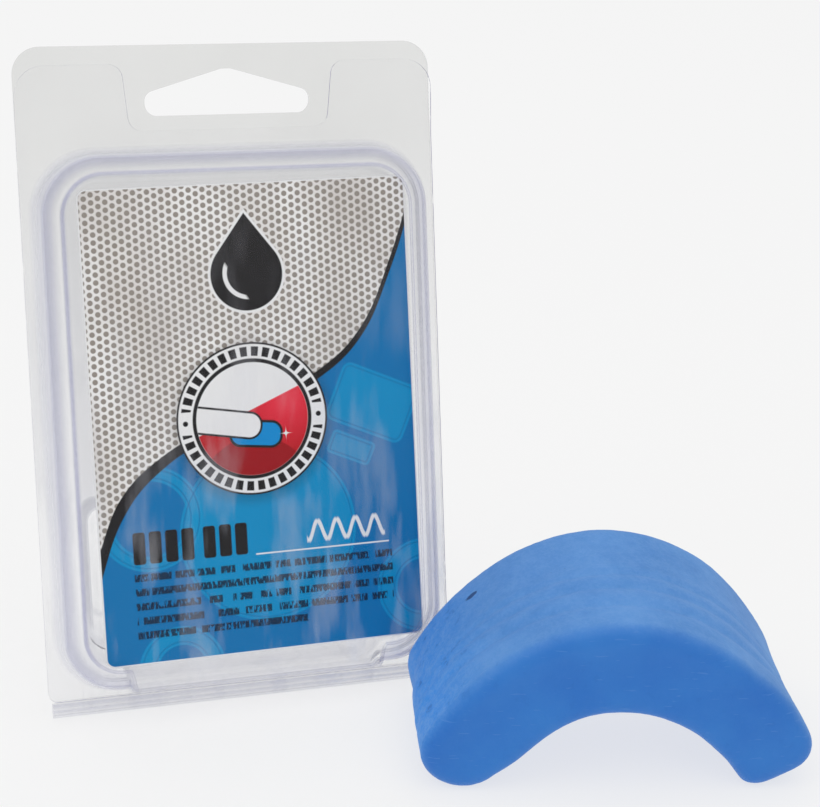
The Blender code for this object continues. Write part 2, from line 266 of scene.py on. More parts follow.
def turned(u, v, centre, angle):
    """The coordinates about centre, turned by the angle."""
    across = u - centre[0]
    up = v - centre[1]
    c = math.cos(angle)
    s = math.sin(angle)
    return across * c + up * s, up * c - across * s


def new_tree(name):
    material = bpy.data.materials.new(name)
    material.use_nodes = True
    tree = material.node_tree
    return material, tree, tree.nodes["Principled BSDF"]


def coordinates(tree, kind, scale=(1.0, 1.0, 1.0)):
    """The surface's own coordinates, scaled, as a vector socket and three fields."""
    source = tree.nodes.new("ShaderNodeTexCoord")
    stretch = tree.nodes.new("ShaderNodeVectorMath")
    stretch.operation = "MULTIPLY"
    stretch.inputs[1].default_value = scale
    tree.links.new(source.outputs[kind], stretch.inputs[0])
    split = tree.nodes.new("ShaderNodeSeparateXYZ")
    tree.links.new(stretch.outputs[0], split.inputs[0])
    return stretch.outputs[0], [Field(tree, socket) for socket in split.outputs]


def noise_field(tree, vector, scale, detail=2.0, roughness=0.5):
    node = tree.nodes.new("ShaderNodeTexNoise")
    node.inputs["Scale"].default_value = scale
    node.inputs["Detail"].default_value = detail
    node.inputs["Roughness"].default_value = roughness
    tree.links.new(vector, node.inputs["Vector"])
    return Field(tree, node.outputs["Fac"])


def joined(tree, across, up, out=0.0):
    """A vector socket made of fields or numbers."""
    node = tree.nodes.new("ShaderNodeCombineXYZ")
    for index, part in enumerate((across, up, out)):
        if isinstance(part, Field):
            tree.links.new(part.socket, node.inputs[index])
        else:
            node.inputs[index].default_value = part
    return node.outputs[0]


def attribute_field(tree, name):
    node = tree.nodes.new("ShaderNodeAttribute")
    node.attribute_name = name
    return Field(tree, node.outputs["Fac"])


def plain(tree, colour):
    node = tree.nodes.new("ShaderNodeRGB")
    node.outputs[0].default_value = (*colour, 1.0)
    return node.outputs[0]


def paint(tree, under, colour, mask):
    """Lays a colour, or a colour socket, over another where the mask is 1."""
    mix = tree.nodes.new("ShaderNodeMix")
    mix.data_type = "RGBA"
    tree.links.new(mask.socket, mix.inputs["Factor"])
    tree.links.new(under, mix.inputs[6])
    if isinstance(colour, tuple):
        mix.inputs[7].default_value = (*colour, 1.0)
    else:
        tree.links.new(colour, mix.inputs[7])
    return mix.outputs[2]


def curve_field(tree, value, points, low, high):
    """A smooth function of the field through the points, with values from low to high."""
    node = tree.nodes.new("ShaderNodeFloatCurve")
    start = points[0][0]
    span = points[-1][0] - start
    curve = node.mapping.curves[0]
    while len(curve.points) < len(points):
        curve.points.new(0.5, 0.5)
    for point, (x, y) in zip(curve.points, points):
        point.location = ((x - start) / span, (y - low) / (high - low))
    node.mapping.update()
    share = (value - start) * (1.0 / span)
    tree.links.new(share.socket, node.inputs["Value"])
    return Field(tree, node.outputs["Value"]) * (high - low) + low


def add_bump(tree, shader, height, distance_m, strength):
    bump = tree.nodes.new("ShaderNodeBump")
    bump.inputs["Distance"].default_value = distance_m
    bump.inputs["Strength"].default_value = strength
    tree.links.new(height.socket, bump.inputs["Height"])
    tree.links.new(bump.outputs["Normal"], shader.inputs["Normal"])


# The clear sheet is greyer at the top of the case and whiter and bluer lower down.
SHEET_LOW = 0.03
SHEET_HIGH = 0.115
# The lilac of the painted shade along the sheet's bends; the white also paints highlights along them.
BEND_SHADE_LILAC = (0.20, 0.21, 0.50)
WHITE = (0.93, 0.94, 0.97)


def make_clear(name, top_colour, top_alpha, low_colour, low_alpha):
    """Clear plastic sheet: see-through when faced, and denser at a glance and along lines, where
    painted shade makes lilac lines and painted highlights make white ones.
    """
    material, tree, shader = new_tree(name)
    vector, (_, _, up) = coordinates(tree, "Object")
    share = (up - SHEET_LOW).math("MULTIPLY", 1.0 / (SHEET_HIGH - SHEET_LOW), clamp=True)
    streak_vector, _ = coordinates(tree, "Object", (150.0, 150.0, 14.0))
    streaks = noise_field(tree, streak_vector, 1.0, 3.0, 0.6).over(0.56, 0.16)
    cloud = noise_field(tree, vector, 28.0, 3.0, 0.55)
    line = attribute_field(tree, "line")
    glint = attribute_field(tree, "glint")
    weight = tree.nodes.new("ShaderNodeLayerWeight")
    weight.inputs["Blend"].default_value = 0.35
    facing = Field(tree, weight.outputs["Facing"])
    colour = paint(tree, plain(tree, low_colour), top_colour, share)
    colour = paint(tree, colour, WHITE, streaks * share.flipped() * 0.7)
    # Painted shade: a lilac line where the sheet bends.
    colour = paint(tree, colour, BEND_SHADE_LILAC, line)
    # Painted highlight: a white line along the rings given a glint.
    colour = paint(tree, colour, WHITE, glint)
    sheet = share * (top_alpha - low_alpha) + low_alpha
    sheet = sheet * (cloud * 0.5 + 0.75)
    milky = streaks * share.flipped() * 0.10
    edges = facing * facing * 0.16
    alpha = sheet + milky + edges + line * 0.34 + glint * 0.30
    tree.links.new(colour, shader.inputs["Base Color"])
    tree.links.new(alpha.least(0.95).socket, shader.inputs["Alpha"])
    shader.inputs["Roughness"].default_value = 0.07
    shader.inputs["IOR"].default_value = 1.54
    shader.inputs["Specular IOR Level"].default_value = 1.0
    add_bump(tree, shader, noise_field(tree, vector, 90.0, 2.0), 0.0003, 0.12)
    return material


def make_cut_edge(name, colour, alpha):
    """The die-cut edge of a sheet, which gathers light into a thin tinted line."""
    material, tree, shader = new_tree(name)
    vector, _ = coordinates(tree, "Object")
    broken = noise_field(tree, vector, 260.0, 2.0).over(0.63, 0.08)
    shade = paint(tree, plain(tree, colour), WHITE, broken)
    tree.links.new(shade, shader.inputs["Base Color"])
    shader.inputs["Alpha"].default_value = alpha
    shader.inputs["Roughness"].default_value = 0.2
    return material


# The print, in millimetres on the card, from the foot of the case's middle
INK = (0.012, 0.011, 0.011)
PAPER = (0.90, 0.90, 0.90)
BLUE = (0.0, 0.185, 0.470)
CYAN = (0.0, 0.330, 0.640)
DEEP_BLUE = (0.0, 0.145, 0.400)
DOT = (0.320, 0.285, 0.250)
DOT_PITCH = (1.43, 0.81)
DOT_RADIUS = 0.56
SWEEP_POINTS = [
    (-37.0, 18.0),
    (-32.2, 34.5),
    (-27.4, 45.0),
    (-18.2, 53.8),
    (-4.0, 60.5),
    (14.0, 68.6),
    (25.1, 77.8),
    (32.0, 91.3),
    (38.0, 108.0),
]
SWEEP_BAND = [(-37.0, 3.6), (-30.0, 2.6), (-18.2, 1.3), (10.0, 0.9), (25.1, 1.0), (38.0, 1.5)]
BADGE = (0.8, 61.2)
BADGE_RADIUS = 16.1
EMBLEM = (1.2, 91.5)


def print_silver(tree, u, v):
    """The upper field: perforated silver."""
    sheen = noise_field(tree, joined(tree, u * 0.06, v * 0.03), 1.0, 3.0)
    shade = paint(tree, plain(tree, (0.98, 0.97, 0.96)), (0.70, 0.66, 0.63), sheen.over(0.52, 0.35))
    first = distance(u.wrapped(DOT_PITCH[0]), v.wrapped(DOT_PITCH[1]), (0.0, 0.0))
    u_next = (u + DOT_PITCH[0]).wrapped(DOT_PITCH[0])
    v_next = (v + DOT_PITCH[1]).wrapped(DOT_PITCH[1])
    second = distance(u_next, v_next, (0.0, 0.0))
    return paint(tree, shade, DOT, first.least(second).under(DOT_RADIUS, 0.16))


def print_blue(tree, u, v):
    """The lower field: blue, with large plain shapes in a lighter blue."""
    shade = plain(tree, BLUE)
    edges = []
    shapes = [
        distance(u, v, (3.0, 37.0)) - 19.0,
        (distance(u, v, (-17.0, 9.5)) - 7.2).size() - 2.0,
        (distance(u, v, (36.5, 22.0)) - 8.0).size() - 2.2,
        (distance(u, v, (-22.0, 42.0)) - 9.5).size() - 1.6,
    ]
    bar_u, bar_v = turned(u, v, (27.0, 62.5), math.radians(-24))
    shapes.append(box_distance(bar_u, bar_v, (0.0, 0.0), (9.0, 6.5), 2.0))
    shapes.append(box_distance(bar_u, bar_v, (-1.0, -10.5), (5.0, 2.6), 1.0))
    for shape in shapes:
        shade = paint(tree, shade, CYAN, shape.under(0.0, 0.2) * 0.75)
        edges.append((shape + 0.7).size().under(0.14, 0.2))
    for edge in edges:
        shade = paint(tree, shade, DEEP_BLUE, edge * 0.6)
    return shade


def print_emblem(tree, shade, u, v):
    """A plain black water drop with a white rim."""
    side = (u - EMBLEM[0]).size()
    up = v - EMBLEM[1]
    round_part = distance(u, v, EMBLEM) - 7.6
    flank = side * 0.80 + up * 0.60 - 7.6
    upper = up.over(4.56, 0.02)
    drop = round_part * upper.flipped() + flank * upper
    shade = paint(tree, shade, PAPER, (drop - 0.55).under(0.0, 0.2))
    shade = paint(tree, shade, INK, drop.under(0.0, 0.2))
    glint = (distance(u, v, (EMBLEM[0] + 0.4, EMBLEM[1] + 0.2)) - 5.0).size().under(0.45, 0.2)
    lower_left = (u - EMBLEM[0] + up * 0.6).under(-3.0, 0.6)
    return paint(tree, shade, PAPER, glint * lower_left)


def print_badge(tree, shade, u, v):
    """A round badge: a ring of short strokes about a mitt that wipes a bar over a panel."""
    shadow = distance(u, v, (BADGE[0], BADGE[1] - 0.6)).under(BADGE_RADIUS + 0.9, 2.6)
    shade = paint(tree, shade, INK, shadow * 0.35)
    away = distance(u, v, BADGE)
    x = u - BADGE[0]
    y = v - BADGE[1]
    shade = paint(tree, shade, INK, away.under(BADGE_RADIUS, 0.2))
    shade = paint(tree, shade, PAPER, away.under(BADGE_RADIUS - 0.4, 0.2))
    angle = y.math("ARCTAN2", x)
    strokes = angle.wrapped(math.pi / 38).size().under(0.052, 0.012)
    band = (away - 14.2).size().under(1.0, 0.2)
    ends = y.size().over(2.4, 0.2)
    shade = paint(tree, shade, INK, strokes * band * ends)
    for side in (-1, 1):
        dot = distance(x, y, (side * 14.2, 0.0)).under(0.55, 0.2)
        shade = paint(tree, shade, INK, dot)
    inside = away.under(11.9, 0.2)
    shade = paint(tree, shade, INK, away.under(12.7, 0.2))
    shade = paint(tree, shade, PAPER, inside)
    panel = (y - x * 0.42).under(2.0, 0.25) * inside
    glow = distance(x, y, (7.0, 4.0)).under(7.0, 9.0)
    red = paint(tree, plain(tree, (0.55, 0.006, 0.012)), (0.86, 0.03, 0.06), glow)
    shade = paint(tree, shade, red, panel)
    lower = (y + x * x * 0.05).under(-3.6, 0.25) * inside
    shade = paint(tree, shade, (0.36, 0.002, 0.006), lower)
    bar_x, bar_y = turned(x, y, (0.6, -3.2), math.radians(-6))
    bar = box_distance(bar_x, bar_y, (0.0, 0.0), (5.4, 2.6), 2.2)
    shade = paint(tree, shade, INK, bar.under(0.35, 0.2) * inside)
    shade = paint(tree, shade, (0.0, 0.28, 0.68), bar.under(-0.2, 0.2) * inside)
    mitt_x, mitt_y = turned(x, y, (-6.2, -0.4), math.radians(-10))
    mitt = box_distance(mitt_x, mitt_y, (0.0, 0.0), (8.0, 2.6), 2.4)
    shade = paint(tree, shade, INK, mitt.under(0.35, 0.2) * inside)
    shade = paint(tree, shade, PAPER, mitt.under(-0.1, 0.2) * inside)
    star_x = (x - 7.0).size()
    star_y = (y + 3.6).size()
    star = (star_x * star_y * 6.0 + (star_x + star_y) * 0.35).under(0.5, 0.3)
    return paint(tree, shade, PAPER, star * inside)


def print_strokes(tree, shade, u, v):
    """Plain strokes in place of the heading and of the lines under it."""
    for start, count in ((-25.9, 4), (-11.1, 3)):
        pitch = 3.4
        end = start + count * pitch - 0.8
        inner = (u - (start + 1.3)).wrapped(pitch / 2)
        bar = box_distance(inner, v, (0.0, 36.0), (1.3, 3.4), 0.6)
        row = (u - (start + end) / 2).size().under((end - start) / 2 + 0.1, 0.1)
        shade = paint(tree, shade, INK, bar.under(0.0, 0.2) * row)
    wave = (u * 1.5).math("SINE") * 1.9
    slope = (u * 1.5).math("COSINE").size() * 2.2 + 1.0
    squiggle = ((v - 36.2 - wave).size() - slope * 0.36).under(0.0, 0.5)
    row = (u - 19.8).size().under(8.6, 0.2)
    shade = paint(tree, shade, PAPER, squiggle * row)
    rule = (v - 32.4).size().under(0.16, 0.15) * (u - 14.6).size().under(14.6, 0.2)
    shade = paint(tree, shade, PAPER, rule)
    line = ((v - 16.2) * (1.0 / 3.05)).math("FLOOR")
    inside = (v - 17.6).wrapped(3.05 / 2).size().under(0.78, 0.25)
    words = noise_field(tree, joined(tree, u * 0.42, line * 7.3), 1.0, 0.0).over(0.36, 0.03)
    letters = noise_field(tree, joined(tree, u * 2.1, line * 3.1 + v * 0.55), 1.0, 1.0).over(0.42, 0.1)
    block = (v - 23.8).size().under(7.7, 0.1)
    right_end = line.under(0.5, 0.1) * -19.0 + 29.8
    row = (u - right_end).under(0.0, 0.2) * u.over(-25.9, 0.2)
    return paint(tree, shade, (0.004, 0.012, 0.03), inside * words * letters * block * row * 0.9)


def make_print():
    material, tree, shader = new_tree("printed_front")
    uv = tree.nodes.new("ShaderNodeUVMap")
    uv.uv_map = "print"
    split = tree.nodes.new("ShaderNodeSeparateXYZ")
    tree.links.new(uv.outputs[0], split.inputs[0])
    u = Field(tree, split.outputs[0]) + CARD_CENTRE[0] * 1000
    v = Field(tree, split.outputs[1]) + CARD_CENTRE[1] * 1000
    sweep = curve_field(tree, u, SWEEP_POINTS, 0.0, 120.0)
    band = curve_field(tree, u, SWEEP_BAND, 0.0, 5.0)
    above = v - sweep
    shade = print_silver(tree, u, v)
    shade = paint(tree, shade, print_blue(tree, u, v), above.under(0.0, 0.2))
    shade = paint(tree, shade, INK, (above.size() - band).under(0.0, 0.3))
    shade = print_emblem(tree, shade, u, v)
    shade = print_strokes(tree, shade, u, v)
    shade = print_badge(tree, shade, u, v)
    centre = (CARD_CENTRE[0] * 1000, CARD_CENTRE[1] * 1000)
    half = (CARD_WIDTH * 500, CARD_HEIGHT * 500)
    rim = box_distance(u, v, centre, half, CARD_RADIUS * 1000)
    shade = paint(tree, shade, PAPER, rim.over(-0.28, 0.12))
    tree.links.new(shade, shader.inputs["Base Color"])
    grain = noise_field(tree, joined(tree, u, v), 2.2, 2.0)
    tree.links.new((grain * 0.12 + 0.26).socket, shader.inputs["Roughness"])
    shader.inputs["Specular IOR Level"].default_value = 0.12
    add_bump(tree, shader, grain, 0.00005, 0.1)
    return material


def make_paper():
    material, tree, shader = new_tree("card_paper")
    vector, _ = coordinates(tree, "Object")
    fibres = noise_field(tree, vector, 900.0, 3.0)
    shade = paint(tree, plain(tree, (0.86, 0.86, 0.85)), (0.94, 0.94, 0.93), fibres)
    tree.links.new(shade, shader.inputs["Base Color"])
    shader.inputs["Roughness"].default_value = 0.8
    add_bump(tree, shader, fibres, 0.00003, 0.2)
    return material


def make_clay_material():
    """Dusty blue clay: smoother and deeper on its front, paler and powdery over its top, the paleness
    partly powder and partly painted light from above.
    """
    material, tree, shader = new_tree("blue_clay")
    vector, _ = coordinates(tree, "Object")
    powder_and_top_light = attribute_field(tree, "powder_and_top_light")
    rubbed = attribute_field(tree, "rubbed")
    mark = attribute_field(tree, "mark")
    fine = noise_field(tree, vector, 1500.0, 3.0, 0.7)
    medium = noise_field(tree, vector, 320.0, 4.0, 0.65)
    cloud = noise_field(tree, vector, 55.0, 3.0, 0.5)
    shade = paint(tree, plain(tree, (0.022, 0.166, 0.575)), (0.034, 0.208, 0.625), cloud.over(0.5, 0.4))
    # Painted light: the top is a paler copy of the blue, partly for its powder and partly as light from
    # above would show it.
    top = paint(tree, plain(tree, (0.072, 0.246, 0.615)), (0.110, 0.308, 0.700), cloud.over(0.5, 0.4))
    shade = paint(tree, shade, top, powder_and_top_light)
    shade = paint(tree, shade, (0.030, 0.270, 0.820), rubbed * 0.75)
    dust = (fine * 0.5 + medium * 0.5).over(0.52, 0.16)
    shade = paint(tree, shade, (0.22, 0.42, 0.80), dust * (powder_and_top_light * 0.20 + rubbed * 0.22 + 0.02))
    # Painted shade: the low spots of the bump's relief are darkened.
    pit_shade = medium.under(0.36, 0.05)
    shade = paint(tree, shade, (0.02, 0.10, 0.40), pit_shade * (rubbed * 0.45 + 0.08))
    flecks = noise_field(tree, vector, 700.0, 2.0)
    shade = paint(tree, shade, (0.006, 0.035, 0.15), (mark + flecks * 0.7).over(0.85, 0.12) * 0.85)
    scratch_vector, _ = coordinates(tree, "Object", (260.0, 260.0, 1900.0))
    scratch = noise_field(tree, scratch_vector, 1.0, 2.0, 0.4).over(0.70, 0.04)
    shade = paint(tree, shade, (0.12, 0.30, 0.68), scratch * powder_and_top_light.flipped() * 0.28)
    tree.links.new(shade, shader.inputs["Base Color"])
    rough = powder_and_top_light * 0.22 + rubbed * 0.1 + cloud * 0.1 + 0.44
    tree.links.new(rough.socket, shader.inputs["Roughness"])
    shader.inputs["Specular IOR Level"].default_value = 0.25
    shader.inputs["Sheen Weight"].default_value = 0.15
    shader.inputs["Sheen Roughness"].default_value = 0.5
    shader.inputs["Sheen Tint"].default_value = (0.55, 0.70, 1.0, 1.0)
    shader.inputs["Subsurface Weight"].default_value = 0.08
    shader.inputs["Subsurface Radius"].default_value = (0.3, 0.5, 1.0)
    shader.inputs["Subsurface Scale"].default_value = 0.002
    relief = fine * 0.35 + medium * 0.65
    add_bump(tree, shader, relief * (powder_and_top_light * 0.6 + rubbed * 0.9 + 0.25), 0.0004, 0.45)
    return material


# Shapes


def arc(centre, radius, start, end, steps):
    points = []
    for step in range(steps + 1):
        angle = start + (end - start) * step / steps
        points.append((centre[0] + radius * math.cos(angle), centre[1] + radius * math.sin(angle)))
    return points


def eased(share):
    return share * share * (3.0 - 2.0 * share)


def rounded_outline(corners, steps):
    """A closed outline through the corners, each rounded by its own radius."""
    outline = []
    for index, (across, up, radius) in enumerate(corners):
        corner = Vector((across, up))
        if radius == 0.0:
            outline.append(tuple(corner))
            continue
        before = (Vector(corners[index - 1][:2]) - corner).normalized()
        after = (Vector(corners[(index + 1) % len(corners)][:2]) - corner).normalized()
        half_angle = before.angle(after) / 2
        reach = abs(radius) / math.tan(half_angle)
        centre = corner + (before + after).normalized() * abs(radius) / math.sin(half_angle)
        start = corner + before * reach - centre
        end = corner + after * reach - centre
        first = math.atan2(start.y, start.x)
        outline += arc(centre, abs(radius), first, first - start.angle_signed(end), steps)
    return outline


def add_object(name, mesh, *materials):
    piece = bpy.data.objects.new(name, mesh)
    bpy.context.scene.collection.objects.link(piece)
    for material in materials:
        mesh.materials.append(material)
    return piece


def settle(piece, sharp):
    """Applies the piece's modifiers and shades it smooth but for its sharp edges."""
    bpy.context.view_layer.update()
    graph = bpy.context.evaluated_depsgraph_get()
    mesh = bpy.data.meshes.new_from_object(piece.evaluated_get(graph), depsgraph=graph)
    piece.modifiers.clear()
    piece.data = mesh
    mesh.shade_smooth()
    mesh.set_sharp_from_angle(angle=math.radians(sharp))
    return piece


def place(piece, body, slot, node):
    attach(piece, body)
    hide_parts(node)


def slope(before, here, after):
    """The slope of a smooth curve at a middle value, held back so that it never overshoots."""
    first = here - before
    second = after - here
    if first * second <= 0.0:
        return 0.0
    least = min(abs(first + second) / 2, 2 * abs(first), 2 * abs(second))
    return math.copysign(least, first)


def spline_rows(rows, steps):
    """Rows between the given ones, on a smooth curve through them."""
    smooth = []
    for index in range(len(rows) - 1):
        before = rows[max(index - 1, 0)]
        start = rows[index]
        end = rows[index + 1]
        after = rows[min(index + 2, len(rows) - 1)]
        for step in range(steps):
            t = step / steps
            row = []
            for p, q, r, s in zip(before, start, end, after):
                leave = slope(p, q, r) * t * (1 - t) ** 2
                arrive = slope(q, r, s) * t * t * (1 - t)
                row.append(q + (r - q) * eased(t) + leave - arrive)
            smooth.append(tuple(row))
    return smooth + [rows[-1]]


def shell_ring(half, bottom, top, low_radius, high_radius, depth, foot_height, foot_depth):
    """One ring of a shell, anticlockwise from its left bottom corner."""
    left = half - low_radius
    upper = half - high_radius
    quarter = math.pi / 2
    low = bottom + low_radius
    high = top - high_radius
    corners = [
        arc((-left, low), low_radius, 2 * quarter, 3 * quarter, CORNER_STEPS),
        arc((left, low), low_radius, 3 * quarter, 4 * quarter, CORNER_STEPS),
        arc((upper, high), high_radius, 0.0, quarter, CORNER_STEPS),
        arc((-upper, high), high_radius, quarter, 2 * quarter, CORNER_STEPS),
    ]
    rounded = [[Vector((x, -depth, z)) for x, z in corner] for corner in corners]
    step_down = []
    for step in range(FOOT_STEPS + 1):
        share = step / FOOT_STEPS
        x = FOOT_END + (FOOT_HALF - FOOT_END) * share
        fall = eased(share)
        y = -depth + (depth - foot_depth) * fall
        z = bottom + (foot_height - bottom) * fall
        step_down.append(Vector((x, y, z)))
    foot = [Vector((-point.x, point.y, point.z)) for point in step_down] + step_down[::-1]
    return rounded[0] + foot + rounded[1] + rounded[2] + rounded[3]


def flange_rows(rows, top, top_radius, depth):
    """The outer edge of a shell and a row just outside its ridge, both flat."""
    first = rows[0]
    low = FLANGE_BOTTOM
    edge = (CASE_HALF, low, top, FLANGE_BOTTOM_RADIUS, top_radius, depth, low, depth, 0.0, 0.0)
    margin = 0.0004
    support = (
        first[0] + margin,
        first[1] - margin,
        first[2] + margin,
        first[3] + margin,
        first[4] + margin,
        depth,
        first[6] - margin / 2,
        depth,
        0.0,
        0.0,
    )
    return [edge, support]


def lean_out(shape, gape):
    """Creases the sheet at GAPE_START, and leans what is above it out by gape at its top."""
    everything = [*shape.verts, *shape.edges, *shape.faces]
    crease = (0.0, 0.0, GAPE_START)
    bmesh.ops.bisect_plane(shape, geom=everything, plane_co=crease, plane_no=(0.0, 0.0, 1.0))
    for vertex in shape.verts:
        rise = max(0.0, vertex.co.z - GAPE_START) / (FRONT_TOP - GAPE_START)
        vertex.co.y -= gape * rise


def make_cutter(corners, edge):
    """A prism of the outline, 20 mm through the case's header, in the CAD model's frame."""
    shape = bmesh.new()
    outline = rounded_outline(corners, 10)
    bottom = shape.faces.new([shape.verts.new((x, -0.01, z)) for x, z in outline])
    swept = bmesh.ops.extrude_face_region(shape, geom=[bottom])
    moved = [item for item in swept["geom"] if isinstance(item, bmesh.types.BMVert)]
    bmesh.ops.translate(shape, verts=moved, vec=(0.0, 0.02, 0.0))
    bmesh.ops.recalc_face_normals(shape, faces=shape.faces)
    mesh = bpy.data.meshes.new("cutter")
    shape.to_mesh(mesh)
    shape.free()
    mesh.transform(CASE)
    return add_object("cutter", mesh, edge)


def make_shell(name, rows, gape, corners, clear, edge):
    """A clear sheet lofted through its rings, with a cut-out in its header."""
    shape = bmesh.new()
    # Each ring's share of painted lilac shade and of painted white highlight.
    line = shape.verts.layers.float.new("line")
    glint = shape.verts.layers.float.new("glint")
    loops = []
    for row in rows:
        loop = [shape.verts.new(point) for point in shell_ring(*row[:8])]
        for vertex in loop:
            vertex[line] = min(1.0, max(0.0, row[8]))
            vertex[glint] = min(1.0, max(0.0, row[9]))
        loops.append(loop)
    for outer, inner in zip(loops, loops[1:]):
        for index, corner in enumerate(outer):
            following = (index + 1) % len(outer)
            shape.faces.new((corner, outer[following], inner[following], inner[index]))
    shape.faces.new(loops[-1])
    lean_out(shape, gape)
    bmesh.ops.recalc_face_normals(shape, faces=shape.faces)
    mesh = bpy.data.meshes.new(name)
    shape.to_mesh(mesh)
    shape.free()
    mesh.transform(CASE)
    shell = add_object(name, mesh, clear, edge)
    skin = shell.modifiers.new("sheet", "SOLIDIFY")
    skin.thickness = SHEET
    skin.offset = 0.0
    skin.material_offset_rim = 1
    cutter = make_cutter(corners, edge)
    removal = shell.modifiers.new("cut_out", "BOOLEAN")
    removal.operation = "DIFFERENCE"
    removal.solver = "EXACT"
    removal.material_mode = "TRANSFER"
    removal.object = cutter
    settle(shell, 32)
    bpy.data.objects.remove(cutter)
    return shell


def make_back(clear, edge):
    rows = flange_rows(BACK_RINGS, BACK_TOP, 0.0057, BACK_DEPTH) + spline_rows(BACK_RINGS, RING_STEPS)
    shell = make_shell("case_back", rows, 0.0, HOLE_CORNERS, clear, edge)
    place(shell, "case", "clear_case", "back_shell")


def make_front(clear, edge):
    rows = flange_rows(FRONT_RINGS, FRONT_TOP, 0.0062, FRONT_DEPTH)
    rows += spline_rows(FRONT_RINGS, RING_STEPS)
    shell = make_shell("case_front", rows, GAPE, NOTCH_CORNERS, clear, edge)
    place(shell, "front", "clear_case", "front_shell")


def make_bead(clear, edge):
    """The narrow strip between the two folds, bulged down into a round bead."""
    middle = BEAD_RADIUS - BEAD_SHEET / 2
    first = math.pi / 2 + BEAD_MOUTH
    last = 5 * math.pi / 2 - BEAD_MOUTH
    profile = [(-BACK_DEPTH, BEAD_TOP)]
    profile += [(-x, z) for x, z in arc((BEAD_DEPTH, BEAD_RADIUS), middle, first, last, 28)]
    profile.append((-FRONT_DEPTH, BEAD_TOP))
    shape = bmesh.new()
    line = shape.verts.layers.float.new("line")
    shape.verts.layers.float.new("glint")
    columns = []
    for step in range(45):
        across = BEAD_HALF * (step / 22 - 1)
        wave = 0.00004 * noise.noise(Vector((across * 220, 3.0, 1.0)))
        column = [shape.verts.new((across, y, z + wave)) for y, z in profile]
        # Painted shade: the lilac line strength rises and falls around the bead's round.
        for index, vertex in enumerate(column):
            vertex[line] = 0.18 + 0.16 * math.sin(index * 1.1)
        columns.append(column)
    for left, right in zip(columns, columns[1:]):
        for index in range(len(profile) - 1):
            shape.faces.new((left[index], right[index], right[index + 1], left[index + 1]))
    bmesh.ops.recalc_face_normals(shape, faces=shape.faces)
    mesh = bpy.data.meshes.new("case_bead")
    shape.to_mesh(mesh)
    shape.free()
    mesh.transform(CASE)
    bead = add_object("case_bead", mesh, clear, edge)
    skin = bead.modifiers.new("sheet", "SOLIDIFY")
    skin.thickness = BEAD_SHEET
    skin.offset = 0.0
    skin.use_even_offset = True
    skin.material_offset_rim = 1
    settle(bead, 50)
    place(bead, "case", "clear_case", "hinge_bead")


def make_card(front, paper):
    """The card: its print faces out, and its cut edges and back are bare paper."""
    half_width = CARD_WIDTH / 2
    half_height = CARD_HEIGHT / 2
    corners = [
        (-half_width, -half_height, CARD_RADIUS),
        (half_width, -half_height, CARD_RADIUS),
        (half_width, half_height, CARD_RADIUS),
        (-half_width, half_height, CARD_RADIUS),
    ]
    shape = bmesh.new()
    print_layer = shape.loops.layers.uv.new("print")
    outline = rounded_outline(corners, 10)
    bottom = shape.faces.new([shape.verts.new((x, 0.0, z)) for x, z in outline])
    swept = bmesh.ops.extrude_face_region(shape, geom=[bottom])
    moved = [item for item in swept["geom"] if isinstance(item, bmesh.types.BMVert)]
    bmesh.ops.translate(shape, verts=moved, vec=(0.0, CARD_THICKNESS, 0.0))
    bmesh.ops.recalc_face_normals(shape, faces=shape.faces)
    for face in shape.faces:
        face.material_index = 0 if face.normal.y < -0.9 else 1
        for corner in face.loops:
            corner[print_layer].uv = (corner.vert.co.x * 1000, corner.vert.co.z * 1000)
    mesh = bpy.data.meshes.new("card")
    shape.to_mesh(mesh)
    shape.free()
    turn = Matrix.Rotation(-CARD_TURN, 4, "Y")
    stand = Matrix.Translation((CARD_CENTRE[0], -CARD_DEPTH, CARD_CENTRE[1]))
    mesh.transform(CASE @ stand @ turn)
    card = add_object("card", mesh, front, paper)
    rim = card.modifiers.new("soft_rim", "BEVEL")
    rim.width = 0.00006
    rim.segments = 2
    settle(card, 30)
    place(card, "front", "printed_card", "insert_card")


# The bar of clay


def bar_section(angle):
    """The middle of the bar at this angle from its crown, and its halves out and in."""
    centre = BAR_TOP - CROWN_HALF - BAR_RADIUS
    share = abs(angle) / BAR_SWEEP
    swell = (CROWN_HALF - FOOT_HALF_THICKNESS) * math.cos(math.pi / 2 * share) ** 2
    outer = FOOT_HALF_THICKNESS + swell
    fill = LEFT_FILL if angle < 0 else RIGHT_FILL
    inner = outer + fill * math.sin(FILL_WAVE * math.pi * share**2)
    middle = (BAR_MIDDLE + BAR_RADIUS * math.sin(angle), centre + BAR_RADIUS * math.cos(angle))
    return Vector(middle), outer, inner


def bar_side(reach_of, steps):
    points = []
    for step in range(steps + 1):
        angle = BAR_SWEEP * (2 * step / steps - 1)
        middle, outer, inner = bar_section(angle)
        away = Vector((math.sin(angle), math.cos(angle)))
        points.append(tuple(middle + away * reach_of(outer, inner)))
    return points


